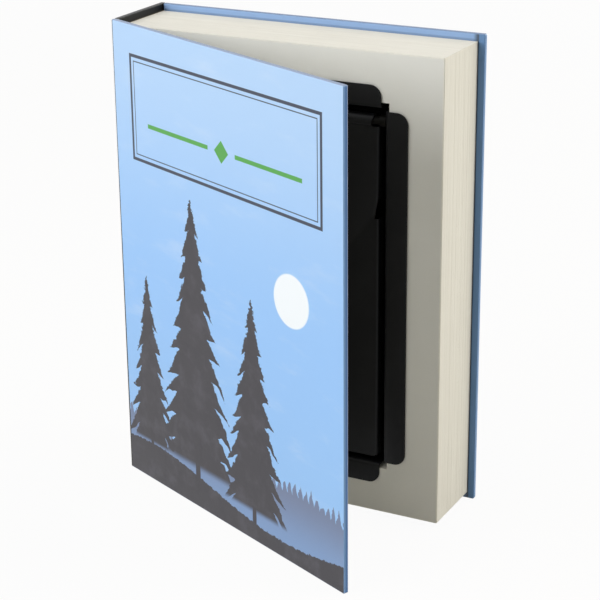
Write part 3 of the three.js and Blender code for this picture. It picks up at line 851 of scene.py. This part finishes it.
def softened(node, name, bevel):
    """The CAD node's own form with its sharp edges rounded, and the rounded edges marked."""
    bm = bmesh.new()
    bm.from_mesh(cad[node].data)
    bmesh.ops.remove_doubles(bm, verts=bm.verts, dist=merge_within * mm)
    bmesh.ops.dissolve_limit(
        bm, angle_limit=math.radians(flat_within), verts=bm.verts, edges=bm.edges, delimit={"NORMAL"},
    )
    piece = link(name, to_mesh(name, bm))
    piece.data.shade_smooth()
    piece.data.materials.clear()
    for empty_slot in range(2):
        piece.data.materials.append(None)
    for polygon in piece.data.polygons:
        polygon.material_index = 0
    rounding = piece.modifiers.new("rounding", "BEVEL")
    rounding.width = bevel * mm
    rounding.segments = bevel_segments
    rounding.limit_method = "ANGLE"
    rounding.angle_limit = math.radians(bevel_above)
    rounding.harden_normals = True
    rounding.material = 1
    apply_modifiers(piece)
    mark = piece.data.attributes.new("edge", "FLOAT", "FACE")
    mark.data.foreach_set("value", [float(p.material_index) for p in piece.data.polygons])
    for polygon in piece.data.polygons:
        polygon.material_index = 0
    return piece


def rounded_edges(tree):
    """1 on the rounded edges that softened() has marked."""
    return add_node(tree, "ShaderNodeAttribute", attribute_name="edge").outputs["Fac"]


def pale_edges(tree, finish, share, edge_colour):
    """A finish that is worn paler along the rounded edges."""
    share = calc(tree, "MULTIPLY", rounded_edges(tree), share)
    return mix(tree, share, finish, colour(*edge_colour))


steel_look, tree, shader = new_material("black_powder_coat", Specular_IOR_Level=0.155)
place = object_place(tree)
peel = noise_texture(tree, place, 2600.0)
dust = noise_texture(tree, place, 60.0, detail=4.0, roughness=0.6)
coat = mix(tree, step(tree, dust, 0.35, 0.75), colour(13, 14, 16), colour(18, 19, 21))
coat = pale_edges(tree, coat, 0.5, (38, 38, 40))
tree.links.new(coat, shader.inputs["Base Color"])
satin = calc(tree, "MULTIPLY_ADD", peel, 0.14, 0.36)
roughen(tree, shader, rounded_edges(tree), base=satin, change=-0.1)
bump(tree, shader, peel, relief=0.02)

for node, name, body in (
    ("tray", "tray_body", "book_body"), ("strike", "strike_plate", "book_body"),
    ("lid", "lid_panel", "lid"),
):
    part = softened(node, name, sheet_bevel)
    finish_piece(part, body, steel_look, node)

# Strips of double-sided tape hold the flanges down on the endpaper. They end just short of
# the flanges' edges.

for strip in ("head_tape", "foot_tape", "fore_tape", "spine_tape"):
    dress(strip, dark=(218, 214, 200), light=(240, 238, 230), edge_tone=(190, 186, 174), size=0.8)

# The hinge pin and its two spacer bushes are turned from steel, blackened in a hot bath and
# oiled. Their edges are worn a little brighter.

small_bevel = 0.12
blackened_look, tree, shader = new_material("blackened_steel", Specular_IOR_Level=0.06)
place = object_place(tree)
oil = noise_texture(tree, place, 500.0, detail=4.0, roughness=0.6)
bath_black = mix(tree, oil, colour(7, 7, 6), colour(14, 13, 10))
bath_black = pale_edges(tree, bath_black, 0.5, (38, 37, 32))
tree.links.new(bath_black, shader.inputs["Base Color"])
roughen(tree, shader, oil, base=0.4, change=0.2)
bump(tree, shader, oil, relief=0.01)

for node in ("hinge_pin", "hinge_bush_left", "hinge_bush_right"):
    part = softened(node, node + "_turned", small_bevel)
    finish_piece(part, "book_body", blackened_look, node)

# The rivets and the lock's washer, nut, cam and screw are turned or stamped steel with a
# yellowish zinc plating, a little cloudy from the bath.

zinc_look, tree, shader = new_material("yellow_zinc", Metallic=0.9)
place = object_place(tree)
bath = noise_texture(tree, place, 340.0, detail=4.0, roughness=0.6)
lathe_marks = add_node(tree, "ShaderNodeMapping", {0: place, "Scale": (1.0, 1.0, 0.1)}).outputs[0]
lathe_marks = noise_texture(tree, lathe_marks, 3000.0)
plating = mix(tree, step(tree, bath, 0.3, 0.7), colour(176, 166, 112), colour(206, 200, 164))
plating = pale_edges(tree, plating, 0.4, (222, 220, 206))
tree.links.new(plating, shader.inputs["Base Color"])
roughen(tree, shader, bath, base=0.28, change=0.2)
bump(tree, shader, lathe_marks, relief=0.01)

for node, body in (
    ("strike_rivet_left", "book_body"), ("strike_rivet_right", "book_body"),
    ("lock_washer", "lid"), ("lock_nut", "lid"), ("lock_cam", "lock_core"), ("cam_screw", "lock_core"),
):
    part = softened(node, node + "_plated", small_bevel)
    finish_piece(part, body, zinc_look, node)

# The lock's barrel goes through the lid, and the plug that the key turns goes through the
# barrel. Both are turned from brass, brushed in rings round their axis and chrome plated.

chrome_look, tree, shader = new_material("lock_chrome", Metallic=1.0)
place = object_place(tree)
lock_low, lock_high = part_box("lock_barrel")
lock_middle = (lock_low + lock_high) / 2
off_axis = add_node(tree, "ShaderNodeVectorMath", {0: place, 1: lock_middle}, operation="SUBTRACT")
ring_axes = add_node(tree, "ShaderNodeSeparateXYZ", {0: off_axis.outputs[0]}).outputs
radius = length_of(tree, ring_axes[0], ring_axes[2])
rings = add_node(tree, "ShaderNodeCombineXYZ", {0: radius}).outputs[0]
rings = noise_texture(tree, rings, 5200.0)
smear = noise_texture(tree, place, 400.0, detail=3.0)
plated = mix(tree, smear, colour(158, 160, 165), colour(192, 194, 198))
plated = pale_edges(tree, plated, 0.6, (228, 229, 232))
tree.links.new(plated, shader.inputs["Base Color"])
roughen(tree, shader, rings, base=0.1, change=0.16)
bump(tree, shader, rings, relief=0.01)

for node, body in (("lock_barrel", "lid"), ("lock_plug", "lock_core")):
    part = softened(node, node + "_chromed", small_bevel)
    finish_piece(part, body, chrome_look, node)

# The book stands on a plain white floor in a pale room. Four soft lamps light it: a large low
# one at the front left, and smaller ones at the right, above and behind.

floor_half = 8.0
near_book = 0.6
far_from_book = 3.0
whiteness_near_book = 0.95
room_strength = 0.16
bm = bmesh.new()
bmesh.ops.create_grid(bm, x_segments=1, y_segments=1, size=floor_half)
floor = link("floor", to_mesh("floor", bm))
floor_look, tree, shader = new_material(
    "floor_white", Base_Color=(0.61, 0.585, 0.535, 1.0), Roughness=0.9, Specular_IOR_Level=0.1,
)


def seen_directly(tree):
    """1 for rays from the camera, and for those that metal and glass send on."""
    rays = tree.nodes.new("ShaderNodeLightPath").outputs
    seen = calc(tree, "MAXIMUM", rays["Is Camera Ray"], rays["Is Glossy Ray"])
    return calc(tree, "MAXIMUM", seen, rays["Is Transmission Ray"])


white = (1.0, 1.0, 1.0, 1.0)
backdrop = add_node(tree, "ShaderNodeEmission", {"Color": white, "Strength": 1.0}).outputs[0]
place = object_place(tree)
from_book = add_node(tree, "ShaderNodeVectorMath", {0: place}, operation="LENGTH").outputs["Value"]
whiteness = step(tree, from_book, near_book, far_from_book, whiteness_near_book, 1.0)
whiteness = calc(tree, "MULTIPLY", seen_directly(tree), whiteness)
surface = add_node(tree, "ShaderNodeMixShader", {0: whiteness, 1: shader.outputs[0], 2: backdrop})
tree.links.new(surface.outputs[0], tree.nodes["Material Output"].inputs["Surface"])
floor.data.materials.append(floor_look)

world = bpy.data.worlds.new("studio")
bpy.context.scene.world = world
world.use_nodes = True
tree = world.node_tree
room = tree.nodes["Background"]
room_colour = mix(tree, seen_directly(tree), (1.0, 0.96, 0.87, 1.0), white)
tree.links.new(room_colour, room.inputs["Color"])
strength = calc(tree, "MULTIPLY_ADD", seen_directly(tree), 1 - room_strength, room_strength)
tree.links.new(strength, room.inputs["Strength"])

book_middle = Vector((0.0, -0.03, 0.135))


def lamp(name, place, size, power, tint=(1.0, 1.0, 1.0)):
    """A round soft lamp that faces the book: its place and size in metres, its power in watts."""
    data = bpy.data.lights.new(name, "AREA")
    data.color = tint
    data.shape = "DISK"
    data.size = size
    data.energy = power
    made = bpy.data.objects.new(name, data)
    bpy.context.scene.collection.objects.link(made)
    made.location = place
    made.rotation_mode = "QUATERNION"
    made.rotation_quaternion = (book_middle - Vector(place)).to_track_quat("-Z", "Y")


lamp("key", place=(-0.96, -1.6, 0.88), size=1.5, power=30, tint=(0.99, 1.0, 1.0))
lamp("fill", place=(1.4, 0.5, 0.9), size=1.0, power=15.7, tint=(1.0, 0.98, 0.91))
lamp("top", place=(-0.35, -0.2, 1.5), size=1.0, power=7.2)
lamp("back", place=(0.75, 1.85, 0.8), size=1.2, power=15)

# The view is left plain

scene = bpy.context.scene
scene.view_settings.view_transform = "Standard"
